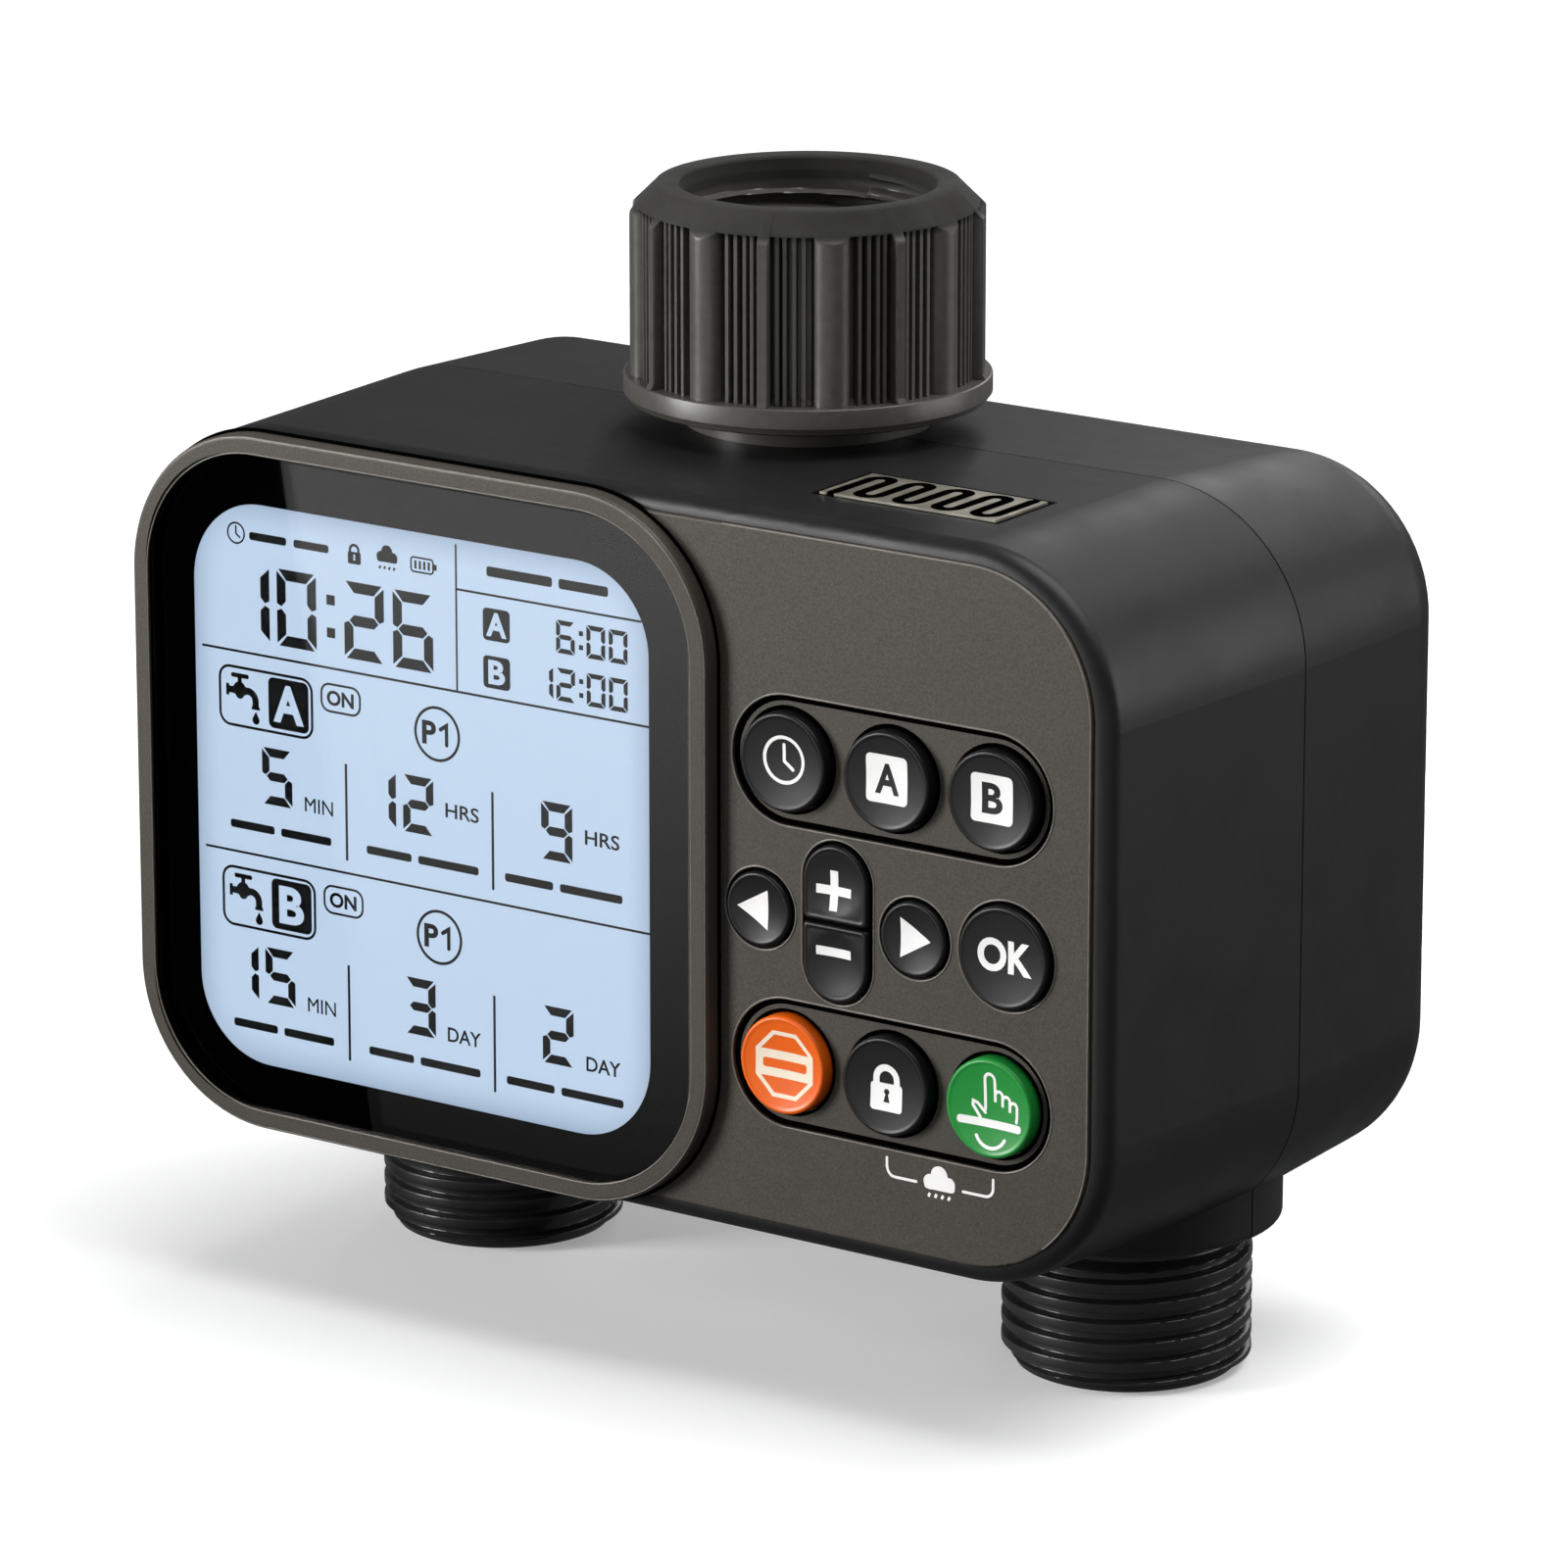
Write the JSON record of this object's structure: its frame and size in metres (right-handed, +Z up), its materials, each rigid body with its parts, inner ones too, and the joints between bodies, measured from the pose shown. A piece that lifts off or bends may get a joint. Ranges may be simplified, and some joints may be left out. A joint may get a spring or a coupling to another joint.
{
  "type": "drip irrigation timer",
  "caption": "Garden watering timer with a threaded swivel inlet on top, backlit display, push keys, rain sensor and two threaded hose outlets below.",
  "frame": {"origin": "on the inlet's axis, at the middle of the swivel nut's internal thread", "axes": "+Z up along the inlet's axis, out of its mouth; +X to the right as one faces the display; +Y from the face panel to the back"},
  "size_m": [0.1268, 0.0704, 0.1232],
  "materials": {
    "housing": "fine satin grain",
    "face_panel": "fine metallic-looking satin",
    "display_glass": "clear gloss with a black printed border",
    "lcd": "backlit pale blue with dark segments",
    "light_guide": "frosted",
    "key_black": "satin with white printed icons",
    "key_orange": "satin with a white printed icon",
    "key_green": "satin with a white printed icon",
    "board": "solder mask",
    "switch_metal": "satin",
    "sensor_base": "matte",
    "sensor_metal": "plated, satin",
    "nut_plastic": "satin",
    "outlet_plastic": "satin",
    "valve_plastic": "satin",
    "filter_plastic": "satin",
    "seal_rubber": "matte",
    "copper": "enamelled wire",
    "steel": "plated",
    "battery_wrap": "printed film"
  },
  "bodies": {
    "case": {"front_housing": "housing", "rear_housing": "housing", "housing_seal": "seal_rubber", "inlet_seal": "seal_rubber", "outlet_seals": "seal_rubber", "inlet_washer": "seal_rubber", "diaphragm_a": "seal_rubber", "diaphragm_b": "seal_rubber", "housing_screws": "steel", "board_screws": "steel", "bonnet_screws": "steel", "hinge_pin": "steel", "battery_contacts": "steel", "screen_bezel": "face_panel", "face_plate": "face_panel", "display_lens": "display_glass", "lcd_panel": "lcd", "lcd_backlight": "light_guide", "keypad_mat": "seal_rubber", "circuit_board": "board", "tact_switches": "switch_metal", "rain_sensor_plate": "sensor_base", "rain_sensor_electrodes": "sensor_metal", "inlet_collar": "nut_plastic", "inlet_spigot": "valve_plastic", "inlet_filter": "filter_plastic", "manifold": "valve_plastic", "bonnet_a": "valve_plastic", "bonnet_b": "valve_plastic", "outlet_a": "outlet_plastic", "outlet_b": "outlet_plastic", "solenoid_coil_a": "copper", "solenoid_coil_b": "copper", "battery_box": "valve_plastic", "battery_1": "battery_wrap", "battery_2": "battery_wrap", "battery_3": "battery_wrap", "battery_4": "battery_wrap"},
    "swivel_nut": {"swivel_nut": "nut_plastic"},
    "battery_door": {"battery_door": "housing", "battery_door_seal": "seal_rubber"},
    "plunger_a": {"plunger_a": "steel", "plunger_spring_a": "steel"},
    "plunger_b": {"plunger_b": "steel", "plunger_spring_b": "steel"},
    "key_clock": {"key_clock": "key_black"},
    "key_program_a": {"key_program_a": "key_black"},
    "key_program_b": {"key_program_b": "key_black"},
    "key_left": {"key_left": "key_black"},
    "key_plus": {"key_plus": "key_black"},
    "key_minus": {"key_minus": "key_black"},
    "key_right": {"key_right": "key_black"},
    "key_ok": {"key_ok": "key_black"},
    "key_stop": {"key_stop": "key_orange"},
    "key_lock": {"key_lock": "key_black"},
    "key_manual": {"key_manual": "key_green"}
  },
  "joints": [
    {"name": "nut_spin", "type": "hinge", "parent": "case", "child": "swivel_nut", "pos_m": [0, 0, 0], "axis": [0, 0, 1], "continuous": true},
    {"name": "battery_door_hinge", "type": "hinge", "parent": "case", "child": "battery_door", "pos_m": [0, 0.0303, -0.02961], "axis": [1, 0, 0], "range_deg": [0, 110]},
    {"name": "key_clock_press", "type": "slide", "parent": "case", "child": "key_clock", "axis": [0, 1, 0], "range_m": [0, 0.0008], "stiffness_N_per_m": 400, "springref_m": -0.001},
    {"name": "key_program_a_press", "type": "slide", "parent": "case", "child": "key_program_a", "axis": [0, 1, 0], "range_m": [0, 0.0008], "stiffness_N_per_m": 400, "springref_m": -0.001},
    {"name": "key_program_b_press", "type": "slide", "parent": "case", "child": "key_program_b", "axis": [0, 1, 0], "range_m": [0, 0.0008], "stiffness_N_per_m": 400, "springref_m": -0.001},
    {"name": "key_left_press", "type": "slide", "parent": "case", "child": "key_left", "axis": [0, 1, 0], "range_m": [0, 0.0008], "stiffness_N_per_m": 400, "springref_m": -0.001},
    {"name": "key_plus_press", "type": "slide", "parent": "case", "child": "key_plus", "axis": [0, 1, 0], "range_m": [0, 0.0008], "stiffness_N_per_m": 400, "springref_m": -0.001},
    {"name": "key_minus_press", "type": "slide", "parent": "case", "child": "key_minus", "axis": [0, 1, 0], "range_m": [0, 0.0008], "stiffness_N_per_m": 400, "springref_m": -0.001},
    {"name": "key_right_press", "type": "slide", "parent": "case", "child": "key_right", "axis": [0, 1, 0], "range_m": [0, 0.0008], "stiffness_N_per_m": 400, "springref_m": -0.001},
    {"name": "key_ok_press", "type": "slide", "parent": "case", "child": "key_ok", "axis": [0, 1, 0], "range_m": [0, 0.0008], "stiffness_N_per_m": 400, "springref_m": -0.001},
    {"name": "key_stop_press", "type": "slide", "parent": "case", "child": "key_stop", "axis": [0, 1, 0], "range_m": [0, 0.0008], "stiffness_N_per_m": 400, "springref_m": -0.001},
    {"name": "key_lock_press", "type": "slide", "parent": "case", "child": "key_lock", "axis": [0, 1, 0], "range_m": [0, 0.0008], "stiffness_N_per_m": 400, "springref_m": -0.001},
    {"name": "key_manual_press", "type": "slide", "parent": "case", "child": "key_manual", "axis": [0, 1, 0], "range_m": [0, 0.0008], "stiffness_N_per_m": 400, "springref_m": -0.001},
    {"name": "plunger_a_lift", "type": "slide", "parent": "case", "child": "plunger_a", "axis": [0, 0, 1], "range_m": [0, 0.002], "stiffness_N_per_m": 150, "springref_m": -0.004, "deforming": ["plunger_spring_a"]},
    {"name": "plunger_b_lift", "type": "slide", "parent": "case", "child": "plunger_b", "axis": [0, 0, 1], "range_m": [0, 0.002], "stiffness_N_per_m": 150, "springref_m": -0.004, "deforming": ["plunger_spring_b"]}
  ]
}
